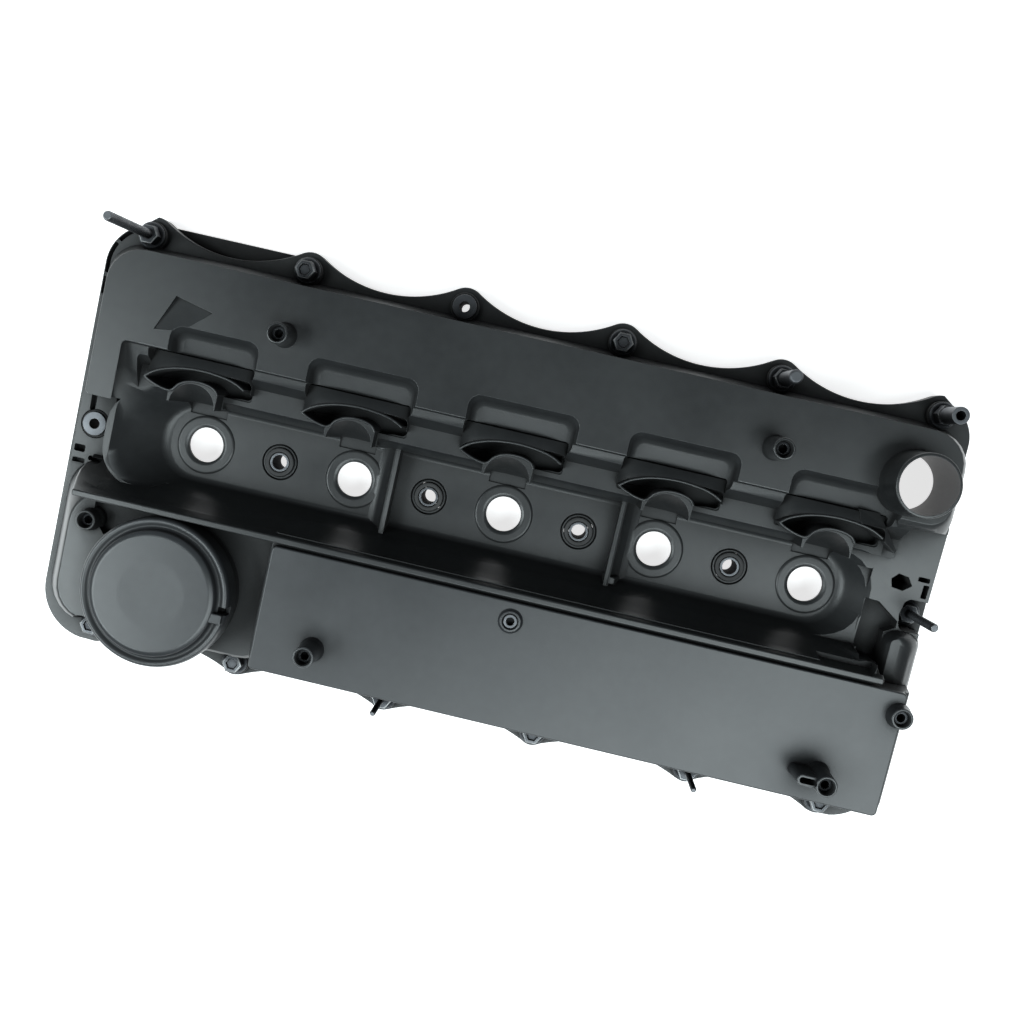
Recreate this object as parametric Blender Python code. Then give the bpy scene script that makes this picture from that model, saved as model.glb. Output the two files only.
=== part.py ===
"""Cover of a five-cylinder engine's cylinder head, in metres with +Z up.

The cover rests on its gasket at z = 0. +X runs along the engine, from the vent housing to the
oil filler, and +Y points to the scalloped side. Heights are measured up from the gasket's foot.
"""

import math

import bmesh
import bpy

MM = 0.001
GAP = 0.3 * MM

# Driving dimensions
PITCH = 96 * MM  # from one injector to the next
ROW = (5 * MM, 5 * MM)  # the middle injector, which the other places are measured from
GASKET_TOP = 3 * MM
FLANGE_FOOT = GASKET_TOP + GAP
FLANGE_TOP = 13 * MM
FLOOR = 20 * MM  # the valley's floor
HOOD_TOP = 57 * MM
LEFT, RIGHT = -280 * MM, 270 * MM  # the flange's ends, from the middle injector
BACK_BOLT_Y, BACK_BOSS = 119.5 * MM, 12.5 * MM
BACK_BOLT_PITCH = 100 * MM
BACK_VALLEY = 117.5 * MM
FRONT_BOLTS = [x * MM for x in (-147, -49, 49, 149, 234)]
FRONT_BOLT_Y, FRONT_BOSS = -132 * MM, 10 * MM
FRONT_VALLEY = -131 * MM
CORNER_BOLT = (-241.5 * MM, -129 * MM)
LEFT_BOLT = (-265 * MM, -3 * MM)
RIGHT_BOLT = (257 * MM, -3 * MM)
BOLT_HOLE = 7.2 * MM
RELIEF = 9.3 * MM  # room round a bolt's washer
INJECTOR_HOLE, INJECTOR_TUBE = 10.9 * MM, 19 * MM
SEAL_BORE, SEAL_SEAT = 16.3 * MM, 17.5 * MM  # each injector seal sits under a shoulder at this height
SLEEVE_BORE, SLEEVE_BOSS = 9.3 * MM, 12 * MM
NECK = (226.5 * MM, 75 * MM)
NECK_OUTER, NECK_INNER, NECK_TOP = 18.5 * MM, 16.5 * MM, 90 * MM
VENT = (-190.5 * MM, -88.5 * MM)
VENT_SHELF = 40 * MM  # the deck that the vent housing stands on
DRUM_OUTER, DRUM_INNER, DRUM_TOP = 42 * MM, 38 * MM, 60 * MM
VENT_FLOOR, SEAT_TOP = 43 * MM, 50 * MM
SEAT_OUTER, SEAT_BORE = 9 * MM, 6.5 * MM
VALVE_FOOT = SEAT_TOP + 3.3 * MM  # the valve plate is open at rest
LEDGE = 47 * MM  # what the separator's baffle lies on
# x, y, height of the foot and of the top of each hollow post
POSTS = [
    tuple(v * MM for v in post)
    for post in (
        (-146, 77, 50, 80),
        (145, 77, 50, 90),
        (-91.5, -100, 60.3, 88),
        (19.4, -56, 60.3, 68),
        (214.5, -102.5, 60.3, 90),
        (251.5, -58, 60.3, 74),
        (-247, -59, 20, 48),
    )
]
POST_OUTER, POST_BORE = 6.3 * MM, 4.3 * MM
LID_POSTS = (2, 3, 4, 5)
POST_BORE_DEPTH = 12 * MM
LID_BORE_FOOT = 63.5 * MM  # the lid keeps a floor under its posts' bores

NYLON = ((0.012, 0.013, 0.014, 1), 0.42, 0.0)
LID_NYLON = ((0.02, 0.022, 0.024, 1), 0.45, 0.0)
RUBBER = ((0.008, 0.008, 0.008, 1), 0.75, 0.0)
SILICONE = ((0.045, 0.016, 0.012, 1), 0.6, 0.0)
STEEL = ((0.09, 0.095, 0.1, 1), 0.38, 1.0)
SPRING_STEEL = ((0.4, 0.4, 0.42, 1), 0.3, 1.0)


def remove_everything():
    for old in list(bpy.data.objects):
        bpy.data.objects.remove(old, do_unlink=True)


def material(name, look):
    """The named material, made on its first use."""
    if name in bpy.data.materials:
        return bpy.data.materials[name]
    made = bpy.data.materials.new(name)
    made.use_nodes = True
    shader = made.node_tree.nodes["Principled BSDF"]
    colour, roughness, metallic = look
    shader.inputs["Base Color"].default_value = colour
    shader.inputs["Roughness"].default_value = roughness
    shader.inputs["Metallic"].default_value = metallic
    return made


def add_object(name, shape, slot=None, look=None):
    """An object from a bmesh whose origin is the middle injector's axis."""
    bmesh.ops.recalc_face_normals(shape, faces=shape.faces)
    mesh = bpy.data.meshes.new(name)
    shape.to_mesh(mesh)
    shape.free()
    mesh.shade_smooth()
    mesh.set_sharp_from_angle(angle=math.radians(35))
    made = bpy.data.objects.new(name, mesh)
    made.location = (ROW[0], ROW[1], 0)
    bpy.context.scene.collection.objects.link(made)
    if slot:
        mesh.materials.append(material(slot, look))
    return made


def joined(shapes):
    """One bmesh that holds every shape, each still a body of its own."""
    whole = bmesh.new()
    for shape in shapes:
        mesh = bpy.data.meshes.new("joining")
        shape.to_mesh(mesh)
        shape.free()
        whole.from_mesh(mesh)
        bpy.data.meshes.remove(mesh)
    return whole


def combine(target, operation, name, shapes):
    """A Boolean of the target with shapes that don't meet each other."""
    tool = add_object(name, joined(shapes))
    tool.hide_render = True
    tool.display_type = "WIRE"
    step = target.modifiers.new(name, "BOOLEAN")
    step.operation = operation
    step.object = tool


def loft(rings):
    """A closed solid through outlines of the same number of points: (outline, z) from the foot up."""
    shape = bmesh.new()
    rows = [[shape.verts.new((x, y, z)) for x, y in outline] for outline, z in rings]
    for low, high in zip(rows, rows[1:]):
        for i in range(len(low)):
            j = (i + 1) % len(low)
            shape.faces.new((low[i], low[j], high[j], high[i]))
    shape.faces.new(reversed(rows[0]))
    shape.faces.new(rows[-1])
    return shape


def prism(outline, foot, top):
    return loft([(outline, foot), (outline, top)])


def arc(centre, radius, start, end, steps):
    """Points from one angle to another, in degrees, both ends included."""
    angles = [math.radians(start + (end - start) * i / steps) for i in range(steps + 1)]
    return [(centre[0] + radius * math.cos(a), centre[1] + radius * math.sin(a)) for a in angles]


def circle(centre, radius, sides):
    return arc(centre, radius, 0, 360 * (sides - 1) / sides, sides - 1)


def rounded(x0, x1, y0, y1, radius, steps=3):
    """A rectangle with round corners, counter-clockwise."""
    corners = ((x1, y0, -90), (x1, y1, 0), (x0, y1, 90), (x0, y0, 180))
    points = []
    for x, y, start in corners:
        centre_x = x - math.copysign(radius, x - (x0 + x1) / 2)
        centre_y = y - math.copysign(radius, y - (y0 + y1) / 2)
        points += arc((centre_x, centre_y), radius, start, start + 90, steps)
    return points


def lathe(centre, profile, sides):
    """Turns (radius, z) points round a vertical axis. A profile off the axis closes on itself."""
    shape = bmesh.new()
    open_ended = profile[0][0] == 0
    columns = []
    poles = {}
    for side in range(sides):
        angle = 2 * math.pi * side / sides
        column = []
        for number, (radius, z) in enumerate(profile):
            if radius == 0:
                if number not in poles:
                    poles[number] = shape.verts.new((centre[0], centre[1], z))
                column.append(poles[number])
                continue
            x = centre[0] + radius * math.cos(angle)
            y = centre[1] + radius * math.sin(angle)
            column.append(shape.verts.new((x, y, z)))
        columns.append(column)
    count = len(profile)
    for one, two in zip(columns, columns[1:] + columns[:1]):
        for i in range(count - 1 if open_ended else count):
            j = (i + 1) % count
            corners = [one[i], two[i], two[j], one[j]]
            kept = [v for n, v in enumerate(corners) if v not in corners[:n]]
            shape.faces.new(kept)
    return shape


def back_bolts():
    return [((number - 2.5) * BACK_BOLT_PITCH - 2 * MM, BACK_BOLT_Y) for number in range(6)]


def front_bolts():
    return [(x, FRONT_BOLT_Y) for x in FRONT_BOLTS]


def injectors():
    return [(PITCH * number, 0) for number in (-2, -1, 0, 1, 2)]


def sleeves():
    return [(PITCH * number, 0) for number in (-1.5, -0.5, 0.5, 1.5)]


def scalloped_edge(xs, y, boss, dip):
    """Boss arcs joined by hollow arcs that touch them, from the first bolt to the last one."""
    outward = math.copysign(1, y)
    depth = outward * (dip - y)
    points = []
    start = 90
    for x, following in zip(xs, xs[1:] + [None]):
        if following is None:
            points += arc((x, y), boss, start, 90, 4)
            break
        half = (following - x) / 2
        hollow = (half**2 + depth**2 - boss**2) / (2 * (boss - depth))
        lean = math.degrees(math.atan2(depth + hollow, half))
        points += arc((x, y), boss, start, lean, 4)
        points += arc((x + half, y + depth + hollow), hollow, 180 + lean, 360 - lean, 8)[1:-1]
        start = 180 - lean
    return [(px, y + outward * (py - y)) for px, py in points]


def flange_outline(inset=0):
    """Counter-clockwise: along the front to the right, then along the back to the left."""
    boss, other_boss = FRONT_BOSS - inset, BACK_BOSS - inset
    front = scalloped_edge([CORNER_BOLT[0]] + FRONT_BOLTS, FRONT_BOLT_Y, boss, FRONT_VALLEY + inset)
    back = scalloped_edge([x for x, _ in back_bolts()], BACK_BOLT_Y, other_boss, BACK_VALLEY - inset)
    left_front = arc((LEFT + 33 * MM, -109 * MM), 33 * MM - inset, 180, 262, 5)
    right_front = arc((RIGHT - 30 * MM, -112 * MM), 30 * MM - inset, -80, 0, 4)
    right_back = arc((RIGHT - 24 * MM, 105 * MM), 24 * MM - inset, 0, 70, 4)
    left_back = arc((LEFT + 28 * MM, 98 * MM), 28 * MM - inset, 110, 180, 4)
    return left_front + front + right_front + right_back + back[::-1] + left_back


def frustum(foot, top, radius, steps=3):
    """Between two round-cornered rectangles, each given as (x0, x1, y0, y1, z) in millimetres."""
    return tapered([(*foot, radius), (*top, radius)], steps)


def tapered(sections, steps=3):
    """Through rectangles (x0, x1, y0, y1, z, corner radius) in millimetres, from the foot up."""
    rings = []
    for section in sections:
        x0, x1, y0, y1, z, radius = (value * MM for value in section)
        rings.append((rounded(x0, x1, y0, y1, radius, steps), z))
    return loft(rings)


def over_slope(x0, x1, y0, y1, low, high, top):
    """A block, in millimetres, whose foot goes from one height at y0 to another at y1."""
    shape = bmesh.new()
    corners = ((x0, y0, low), (x1, y0, low), (x1, y1, high), (x0, y1, high))
    foot = [shape.verts.new((x * MM, y * MM, z * MM)) for x, y, z in corners]
    lid = [shape.verts.new((x * MM, y * MM, top * MM)) for x, y, _ in corners]
    for i in range(4):
        j = (i + 1) % 4
        shape.faces.new((foot[i], foot[j], lid[j], lid[i]))
    shape.faces.new(foot[::-1])
    shape.faces.new(lid)
    return shape


def hood_outline(x):
    """The crescent over each injector's column, as seen from above."""
    half, rise, edge = 35 * MM, 11.5 * MM, 34 * MM
    radius = (half**2 + rise**2) / (2 * rise)
    spread = math.degrees(math.asin(half / radius))
    outer = arc((x, edge + rise - radius), radius, 90 - spread, 90 + spread, 8)
    notch = arc((x, 12 * MM), 25.5 * MM, 115, 65, 4)
    return outer + [(x - 16 * MM, 30 * MM)] + notch


def hollow_outline(x):
    """The deep hollow inside the crescent."""
    half, rise, edge = 32 * MM, 10 * MM, 34.5 * MM
    radius = (half**2 + rise**2) / (2 * rise)
    spread = math.degrees(math.asin(half / radius))
    outer = arc((x, edge + rise - radius), radius, 90 - spread, 90 + spread, 8)
    return outer + arc((x, 24 * MM), 17 * MM, 140, 40, 5)


def bolt_places():
    return back_bolts() + front_bolts() + [CORNER_BOLT, LEFT_BOLT, RIGHT_BOLT]


def make_shell():
    shell = add_object("cover_shell", prism(flange_outline(), FLANGE_FOOT, FLANGE_TOP), "nylon", NYLON)
    back_housing = frustum((-277.5, 267, 31, 114, 8), (-255.4, 251.8, 54, 107.2, 62), 14)
    arm = frustum((-277.5, -232, 18, 70, 8), (-255.4, -232, 18, 70, 62), 3, 2)
    back_wall = frustum((-232, 225, 20, 60, 8), (-232, 225, 20, 60, 44), 1, 1)
    front_housing = frustum((-275, 268, -128, -24, 10), (-250, 256, -121, -33, 62), 14)
    combine(shell, "UNION", "back_housing_form", [back_housing])
    combine(shell, "UNION", "arm_form", [arm])
    combine(shell, "UNION", "back_wall_form", [back_wall])
    combine(shell, "UNION", "front_housing_form", [front_housing])
    make_right_end(shell)
    left_rim = frustum((-248, -202, -32.5, 25.5, 27), (-246.3, -202, -31.7, 24.8, 45), 22, 4)
    ridge = tapered([
        (-263, 240, -47, -19, 14, 1.2),
        (-259.5, 239.5, -45.5, -28, 40, 1.2),
        (-256, 239.3, -42.9, -32, 51, 1.2),
        (-250.5, 238.5, -42.6, -37, 66, 1.2),
    ], 1)
    combine(shell, "UNION", "tray_form", [frustum((-249, 236, -34, 27, 8), (-249.5, 236, -34, 27, 33), 29, 5)])
    combine(shell, "UNION", "left_rim_form", [left_rim])
    vent_deck = frustum((-290, -130, -150, -43, VENT_SHELF / MM), (-290, -128, -150, -41, 70), 1.5, 1)
    combine(shell, "DIFFERENCE", "vent_deck_cutter", [vent_deck])
    combine(shell, "UNION", "ridge_form", [ridge])
    bulge = frustum((241.5, 268, -60, -12, 10), (244.5, 252, -60, -18, 43.4), 3, 2)
    combine(shell, "UNION", "bulge_form", [bulge])
    valley = tapered([
        (-217, 213, -23, 24.2, FLOOR / MM, 21),
        (-230.5, 226, -27.5, 25.4, 33, 25),
        (-239, 233.5, -30, 28, 41, 24),
        (-244.5, 234.4, -32.6, 32.5, 47.5, 16),
        (-246, 234, -34, 38.4, 51.6, 8),
        (-243, 226, -36, 52.6, 57.2, 4),
        (-239, 224, -38.9, 54.3, 66, 3),
        (-239, 224, -42, 54.8, 74, 3),
    ], 5)
    combine(shell, "DIFFERENCE", "valley_cutter", [valley])
    groove = [(226, -33), (241.6, -33), (241.6, -16), (248, -12), (248, -8), (234, 1.5), (226, 2)]
    groove = [(x * MM, y * MM) for x, y in groove]
    combine(shell, "DIFFERENCE", "rim_level_cutter", [over_slope(205, 235, -28, 28, 32.4, 37.1, 90)])
    combine(shell, "DIFFERENCE", "groove_cutter", [prism(groove, 24 * MM, 60 * MM)])
    combine(shell, "DIFFERENCE", "groove_end_cutter", [over_slope(236.5, 241.6, -43.5, -32.5, 44, 24, 62)])
    pockets = []
    for x, _ in injectors():
        middle = x / MM
        foot = (middle - 31, middle + 31, 44, 67, 54)
        pockets.append(frustum(foot, (middle - 33, middle + 33, 44, 69, 64), 6, 2))
    combine(shell, "DIFFERENCE", "pocket_cutter", pockets)
    hoods = [prism(hood_outline(x), 36 * MM, HOOD_TOP) for x, _ in injectors()]
    combine(shell, "UNION", "hood_form", hoods)
    columns = []
    for x, _ in injectors():
        columns.append(prism(rounded(x - 12 * MM, x + 12 * MM, 24 * MM, 44 * MM, 8 * MM), 17 * MM, 50 * MM))
    combine(shell, "UNION", "column_form", columns)
    hollows = [prism(hollow_outline(x), 40 * MM, HOOD_TOP + 1 * MM) for x, _ in injectors()]
    combine(shell, "DIFFERENCE", "hood_hollow_cutter", hollows)
    make_hollows(shell)
    make_stands(shell)
    make_bores(shell)
    return shell


def make_right_end(shell):
    """The deck at the right end, which falls towards the front, and the gap round its bolt."""
    deck = frustum((225, 267.5, -46, 56, 8), (225, 261.5, -46, 56, 40), 3, 2)
    combine(shell, "UNION", "right_deck_form", [deck])
    combine(shell, "DIFFERENCE", "right_deck_cutter", [over_slope(234.2, 300, -44.5, 50, 31, 39, 90)])
    gap = frustum((248.5, 290, -13, 7, 14), (248.5, 290, -13, 7, 50), 5, 2)
    combine(shell, "DIFFERENCE", "bolt_gap_cutter", [gap])


def make_hollows(shell):
    """Opens the underside, over the camshafts and under the valley's floor, and the separator's chamber."""
    back = frustum((-249, 242, 45.5, 106.5, 14), (-234, 225, 55.5, 105, 48), 12)
    back_foot = frustum((-254, 247, 22, 107, -1), (-248, 241, 46, 107, 14.5), 12)
    neck_side = frustum((214, 259.5, 52, 104, -1), (214, 250, 56, 103, 47), 10)
    back_roof = frustum((-231, 222, 73, 105, 40), (-231, 222, 73, 104, 58), 8)
    front = frustum((-118, 246, -120, -22, -1), (-118, 243, -114, -49, 47.5), 6, 2)
    vent_side = frustum((-254, -114, -120, -22, -1), (-246, -114, -117, -38, 36), 6, 2)
    valley = frustum((-232, 224, -29, 30, -2), (-232, 224, -29, 30, 16.5), 20)
    chamber = frustum((-122, 247, -117, -46, LEDGE / MM), (-122, 247, -117, -46, 70), 5, 2)
    combine(shell, "DIFFERENCE", "back_gallery_cutter", [back])
    combine(shell, "DIFFERENCE", "back_gallery_foot_cutter", [back_foot])
    combine(shell, "DIFFERENCE", "neck_side_cutter", [neck_side])
    combine(shell, "DIFFERENCE", "neck_well_cutter", [prism(circle(NECK, NECK_INNER, 24), -1 * MM, 50 * MM)])
    combine(shell, "DIFFERENCE", "back_roof_cutter", [back_roof])
    combine(shell, "DIFFERENCE", "front_gallery_cutter", [front])
    combine(shell, "DIFFERENCE", "vent_gallery_cutter", [vent_side])
    combine(shell, "DIFFERENCE", "valley_cavity_cutter", [valley])
    combine(shell, "DIFFERENCE", "chamber_cutter", [chamber])


def make_stands(shell):
    """What stands on the shell: tubes, sleeve bosses, posts, the filler neck and the vent's drum."""
    stands = [prism(circle(place, INJECTOR_TUBE, 20), FLANGE_FOOT, FLOOR - 1 * MM) for place in injectors()]
    stands += [prism(circle(place, SLEEVE_BOSS, 16), FLANGE_FOOT, FLOOR + 1.5 * MM) for place in sleeves()]
    stands += [
        prism(circle((x, y), POST_OUTER, 12), foot, top)
        for number, (x, y, foot, top) in enumerate(POSTS)
        if number not in LID_POSTS
    ]
    stands.append(prism(circle(NECK, NECK_OUTER, 24), 46 * MM, NECK_TOP))
    stands.append(prism(circle(VENT, DRUM_OUTER, 32), 36 * MM, DRUM_TOP))
    combine(shell, "UNION", "stand_form", stands)
    combine(shell, "DIFFERENCE", "drum_cutter", [prism(circle(VENT, DRUM_INNER, 32), VENT_FLOOR, 70 * MM)])
    combine(shell, "UNION", "seat_form", [prism(circle(VENT, SEAT_OUTER, 16), 38 * MM, SEAT_TOP)])


def make_bores(shell):
    reliefs = [prism(circle(place, RELIEF, 12), FLANGE_TOP, 30 * MM) for place in back_bolts()]
    reliefs += [prism(circle(place, RELIEF, 12), FLANGE_TOP, 50 * MM) for place in front_bolts()]
    reliefs.append(prism(circle(CORNER_BOLT, RELIEF, 12), FLANGE_TOP, 70 * MM))
    reliefs.append(prism(circle(RIGHT_BOLT, RELIEF, 12), FLANGE_TOP, 60 * MM))
    combine(shell, "DIFFERENCE", "relief_cutter", reliefs)
    bores = [prism(circle(place, INJECTOR_HOLE, 20), 12 * MM, 30 * MM) for place in injectors()]
    bores += [prism(circle(place, SLEEVE_BORE, 16), -1 * MM, 30 * MM) for place in sleeves()]
    bores += [prism(circle(place, BOLT_HOLE, 12), -1 * MM, 30 * MM) for place in bolt_places()]
    bores += [
        prism(circle((x, y), POST_BORE, 12), top - POST_BORE_DEPTH, top + 1 * MM)
        for number, (x, y, _, top) in enumerate(POSTS)
        if number not in LID_POSTS
    ]
    bores.append(prism(circle(NECK, NECK_INNER, 24), 44 * MM, NECK_TOP + 1 * MM))
    bores.append(prism(circle(VENT, SEAT_BORE, 16), 30 * MM, SEAT_TOP + 1 * MM))
    combine(shell, "DIFFERENCE", "bore_cutter", bores)
    seats = [prism(circle(place, SEAL_BORE, 20), -1 * MM, SEAL_SEAT) for place in injectors()]
    combine(shell, "DIFFERENCE", "seal_seat_cutter", seats)


def make_lid():
    plate = frustum((-127.5, 254.5, -120.3, -44.2, 62.3), (-127, 254, -119.8, -44.5, 66), 3, 2)
    lid = add_object("separator_lid", plate, "lid_nylon", LID_NYLON)
    posts, bores = [], []
    for x, y, _, top in (POSTS[number] for number in LID_POSTS):
        posts.append(prism(circle((x, y), POST_OUTER, 12), 63 * MM, top))
        low = max(top - POST_BORE_DEPTH, LID_BORE_FOOT)
        bores.append(prism(circle((x, y), POST_BORE, 12), low, top + 1 * MM))
    combine(lid, "UNION", "lid_post_form", posts)
    combine(lid, "DIFFERENCE", "lid_post_bore_cutter", bores)


def make_baffle():
    z = (LEDGE + GAP) / MM
    plate = frustum((-121.5, 246.5, -116.5, -46.5, z), (-121.5, 246.5, -116.5, -46.5, z + 2.2), 4.5, 2)
    baffle = add_object("separator_baffle", plate, "nylon", NYLON)
    drains = [prism(circle((x * MM, -82 * MM), 6 * MM, 12), 40 * MM, 60 * MM) for x in (-80, 60, 210)]
    combine(baffle, "DIFFERENCE", "drain_cutter", drains)


def make_gasket():
    gasket = add_object("perimeter_gasket", prism(flange_outline(1.5 * MM), 0, GASKET_TOP), "rubber", RUBBER)
    ledge = prism(rounded(-252 * MM, -152 * MM, 110 * MM, 128.5 * MM, 3 * MM, 1), 0, GASKET_TOP)
    combine(gasket, "UNION", "gasket_ledge_form", [ledge])
    opening = frustum((-253, 246, -120, 107, -1), (-253, 246, -120, 107, 5), 15)
    combine(gasket, "DIFFERENCE", "gasket_opening_cutter", [opening])
    neck_side = frustum((214, 259.5, 52, 104, -1), (214, 259.5, 52, 104, 5), 10)
    combine(gasket, "DIFFERENCE", "gasket_neck_side_cutter", [neck_side])
    holes = [prism(circle(place, BOLT_HOLE, 12), -1 * MM, 5 * MM) for place in bolt_places()]
    combine(gasket, "DIFFERENCE", "gasket_hole_cutter", holes)


def make_vent():
    """The pressure valve: a plate that a membrane carries, on a spring round its seat."""
    cap = [(0, 72), (37.5, 72), (37.5, 67.5), (45.2, 67.5), (45.2, 52), (42.6, 52)]
    cap += [(42.6, 62.1), (36, 62.1), (36, 69.5), (0, 69.5)]
    membrane = [(41.5, 61.8), (36, 61.8), (33, 57), (28, 56), (24, 57.5), (8, 57.5)]
    membrane += [(8, 56), (23.5, 56), (28, 54.4), (34.2, 55.6), (37, 60.3), (41.5, 60.3)]
    foot = VALVE_FOOT / MM
    plate = [(0, foot), (18, foot), (18, foot + 2.4), (7.6, foot + 2.4), (7.6, foot + 4.5)]
    plate += [(14, foot + 4.5), (14, foot + 6), (0, foot + 6)]
    turned("vent_cap", VENT, cap, 32, "lid_nylon", LID_NYLON)
    turned("vent_diaphragm", VENT, membrane, 24, "rubber", RUBBER)
    turned("vent_valve_plate", VENT, plate, 24, "nylon", NYLON)
    wire, coil, turns, steps = 0.7 * MM, 14 * MM, 3, 12
    low, high = VENT_FLOOR + GAP + wire, VALVE_FOOT - GAP - wire
    curve = bpy.data.curves.new("vent_spring", "CURVE")
    curve.dimensions = "3D"
    curve.bevel_depth = wire
    curve.bevel_resolution = 1
    curve.use_fill_caps = True
    spline = curve.splines.new("POLY")
    spline.points.add(turns * steps)
    for i, point in enumerate(spline.points):
        angle = 2 * math.pi * i / steps
        height = low + (high - low) * i / (turns * steps)
        point.co = (VENT[0] + coil * math.cos(angle), VENT[1] + coil * math.sin(angle), height, 1)
    spring = bpy.data.objects.new("vent_spring", curve)
    spring.location = (ROW[0], ROW[1], 0)
    curve.materials.append(material("spring_steel", SPRING_STEEL))
    bpy.context.scene.collection.objects.link(spring)


def turned(name, place, profile, sides, slot, look):
    """A turned piece, from a profile of (radius, z) in millimetres."""
    return add_object(name, lathe(place, [(r * MM, z * MM) for r, z in profile], sides), slot, look)


def make_seals():
    seal = [(16, 14.2), (16, 17.2), (12.4, 17.2), (12.4, 14.2)]
    for number, place in enumerate(injectors(), 1):
        turned(f"injector_seal_{number}", place, seal, 20, "silicone", SILICONE)
    for number, place in enumerate(sleeves(), 1):
        ring = [(9, 1.5), (9, 22), (6.3, 22), (6.3, 1.5)]
        sleeve = [(6, 0.5), (6, 21.5), (4.5, 21.5), (4.5, 0.5)]
        turned(f"centre_isolator_{number}", place, ring, 16, "rubber", RUBBER)
        turned(f"centre_sleeve_{number}", place, sleeve, 16, "steel", STEEL)


def make_isolator(name, place):
    ring = [(6.9, 3.6), (6.9, 13.3), (8.9, 13.3), (8.9, 17), (4.1, 17), (4.1, 3.6)]
    turned(name, place, ring, 12, "rubber", RUBBER)


def make_sleeve(name, place):
    ring = [(3.8, 0.5), (3.8, 17.3), (7.5, 17.3), (7.5, 18.8), (3.2, 18.8), (3.2, 0.5)]
    turned(name, place, ring, 12, "steel", STEEL)


def make_bolt(name, place, head_top, tip=None, tip_radius=3.0, tip_bore=0.0):
    """A hexagon bolt with a washer. Every other side of its head is drawn in to the hexagon's flat."""
    hexagon = 6.4
    profile = [(0, 0.6), (3.4, 0.6), (3.4, 17.3), (8.3, 17.3), (8.3, 18.8), (hexagon, 18.8)]
    profile.append((hexagon, head_top))
    if tip:
        profile += [(tip_radius, head_top), (tip_radius, tip)]
        if tip_bore:
            profile += [(tip_bore, tip), (tip_bore, tip - 12)]
    profile.append((0, profile[-1][1]))
    shape = lathe(place, [(r * MM, z * MM) for r, z in profile], 12)
    flat = math.cos(math.radians(30))
    for vertex in shape.verts:
        x, y = vertex.co.x - place[0], vertex.co.y - place[1]
        on_head = abs(math.hypot(x, y) - hexagon * MM) < 1e-6
        if on_head and round(math.degrees(math.atan2(y, x))) % 60 == 30:
            vertex.co.x = place[0] + x * flat
            vertex.co.y = place[1] + y * flat
    add_object(name, shape, "steel", STEEL)


def make_fasteners():
    back = back_bolts()
    for number, place in enumerate(back, 1):
        make_isolator(f"back_isolator_{number}", place)
    make_bolt("back_stud_1", back[0], 25, 84)
    make_bolt("back_bolt_2", back[1], 26)
    make_sleeve("back_sleeve_3", back[2])
    make_bolt("back_bolt_4", back[3], 25)
    make_bolt("back_stud_5", back[4], 27, 58, 4.2)
    make_bolt("back_stud_6", back[5], 27, 48, 5.2, 2.8)
    for number, place in enumerate(front_bolts(), 1):
        make_isolator(f"front_isolator_{number}", place)
        if number in (2, 4):
            make_bolt(f"front_stud_{number}", place, 25, 58, 1.8)
        else:
            make_bolt(f"front_bolt_{number}", place, 25)
    make_isolator("left_isolator", LEFT_BOLT)
    make_sleeve("left_sleeve", LEFT_BOLT)
    make_isolator("corner_isolator", CORNER_BOLT)
    make_bolt("corner_bolt", CORNER_BOLT, 25)
    make_isolator("right_isolator", RIGHT_BOLT)
    make_bolt("right_stud", RIGHT_BOLT, 25, 70, 2.6)


def make_inserts():
    """Threaded inserts, sunk in the bores of the posts."""
    for number, (x, y, _, top) in enumerate(POSTS):
        foot = top - POST_BORE_DEPTH
        if number in LID_POSTS:
            foot = max(foot, LID_BORE_FOOT)
        low = foot / MM + 0.4
        high = min(low + 7, top / MM - 0.6)
        ring = [(4, low), (4, high), (2.5, high), (2.5, low)]
        turned(f"post_insert_{number + 1}", (x, y), ring, 12, "steel", STEEL)


remove_everything()
make_shell()
make_lid()
make_baffle()
make_gasket()
make_vent()
make_seals()
make_fasteners()
make_inserts()
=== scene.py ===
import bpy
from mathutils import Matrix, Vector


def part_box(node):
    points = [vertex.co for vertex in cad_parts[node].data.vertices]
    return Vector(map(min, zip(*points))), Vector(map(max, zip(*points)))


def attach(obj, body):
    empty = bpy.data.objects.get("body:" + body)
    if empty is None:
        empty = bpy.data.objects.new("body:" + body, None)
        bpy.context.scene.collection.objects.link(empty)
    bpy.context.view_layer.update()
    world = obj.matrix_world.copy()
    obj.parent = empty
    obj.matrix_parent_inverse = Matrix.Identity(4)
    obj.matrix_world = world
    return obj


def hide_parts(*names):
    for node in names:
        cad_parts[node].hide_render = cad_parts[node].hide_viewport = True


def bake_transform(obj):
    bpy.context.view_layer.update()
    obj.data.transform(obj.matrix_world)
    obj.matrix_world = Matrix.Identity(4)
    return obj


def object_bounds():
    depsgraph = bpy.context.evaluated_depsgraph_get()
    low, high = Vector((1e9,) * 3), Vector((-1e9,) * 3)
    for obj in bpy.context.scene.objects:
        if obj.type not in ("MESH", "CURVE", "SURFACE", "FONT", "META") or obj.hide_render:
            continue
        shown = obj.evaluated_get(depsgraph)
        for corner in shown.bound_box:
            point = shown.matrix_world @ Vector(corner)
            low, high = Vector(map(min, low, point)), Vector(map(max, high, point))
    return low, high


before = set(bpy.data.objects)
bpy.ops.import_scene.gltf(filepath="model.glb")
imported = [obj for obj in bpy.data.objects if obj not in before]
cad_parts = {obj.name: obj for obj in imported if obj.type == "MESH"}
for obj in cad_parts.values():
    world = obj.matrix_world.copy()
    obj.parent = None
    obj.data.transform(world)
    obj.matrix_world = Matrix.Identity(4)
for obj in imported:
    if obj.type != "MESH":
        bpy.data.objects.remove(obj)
cad_box = [[float(v) for v in corner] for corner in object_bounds()]

import math

import bmesh
import bpy
from mathutils import Matrix, Vector

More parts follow.
